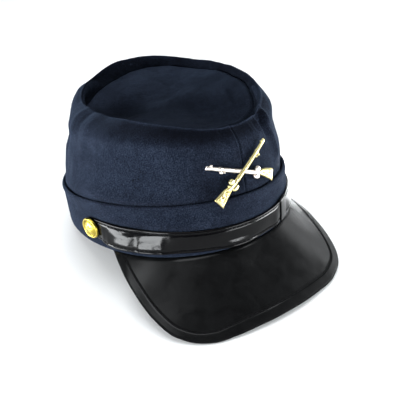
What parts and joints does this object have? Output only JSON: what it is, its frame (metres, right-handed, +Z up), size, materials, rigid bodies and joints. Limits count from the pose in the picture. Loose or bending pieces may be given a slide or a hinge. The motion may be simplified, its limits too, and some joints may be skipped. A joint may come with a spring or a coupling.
{
  "type": "kepi cap",
  "caption": "Soft cloth kepi with a sunken round top, turned-up cuff, stiff black peak, glossy chin strap between brass buttons and a crossed-rifles badge.",
  "frame": {"origin": "middle of the part's bounding box on the surface it rests on, z = 0", "axes": "+Z up, -Y towards the front where the peak points, +X to the wearer's left; the cap rests tipped back on the two lower corners of the peak and the back of the cuff, as it lies on a table"},
  "size_m": [0.179, 0.2478, 0.1214],
  "materials": {
    "crown_cloth": "felted navy wool cloth, front seam",
    "top_cloth": "felted navy wool cloth, softly wrinkled",
    "cuff_cloth": "felted navy wool cloth, doubled",
    "peak_vinyl": "black satin coated board with a stitched border",
    "strap_patent": "black glossy patent, edge stitched",
    "keeper_patent": "black glossy patent",
    "button_brass": "polished brass",
    "badge_gold": "pale gold plated, cast relief",
    "clutch_steel": "plain nickel-plated pin backs"
  },
  "bodies": {
    "root": {"crown_wall": "crown_cloth", "crown_top": "top_cloth", "band": "cuff_cloth", "peak": "peak_vinyl", "chin_strap": "strap_patent", "strap_keeper": "keeper_patent", "button_right": "button_brass", "button_left": "button_brass", "badge": "badge_gold", "clutch_right": "clutch_steel", "clutch_left": "clutch_steel"}
  },
  "joints": []
}
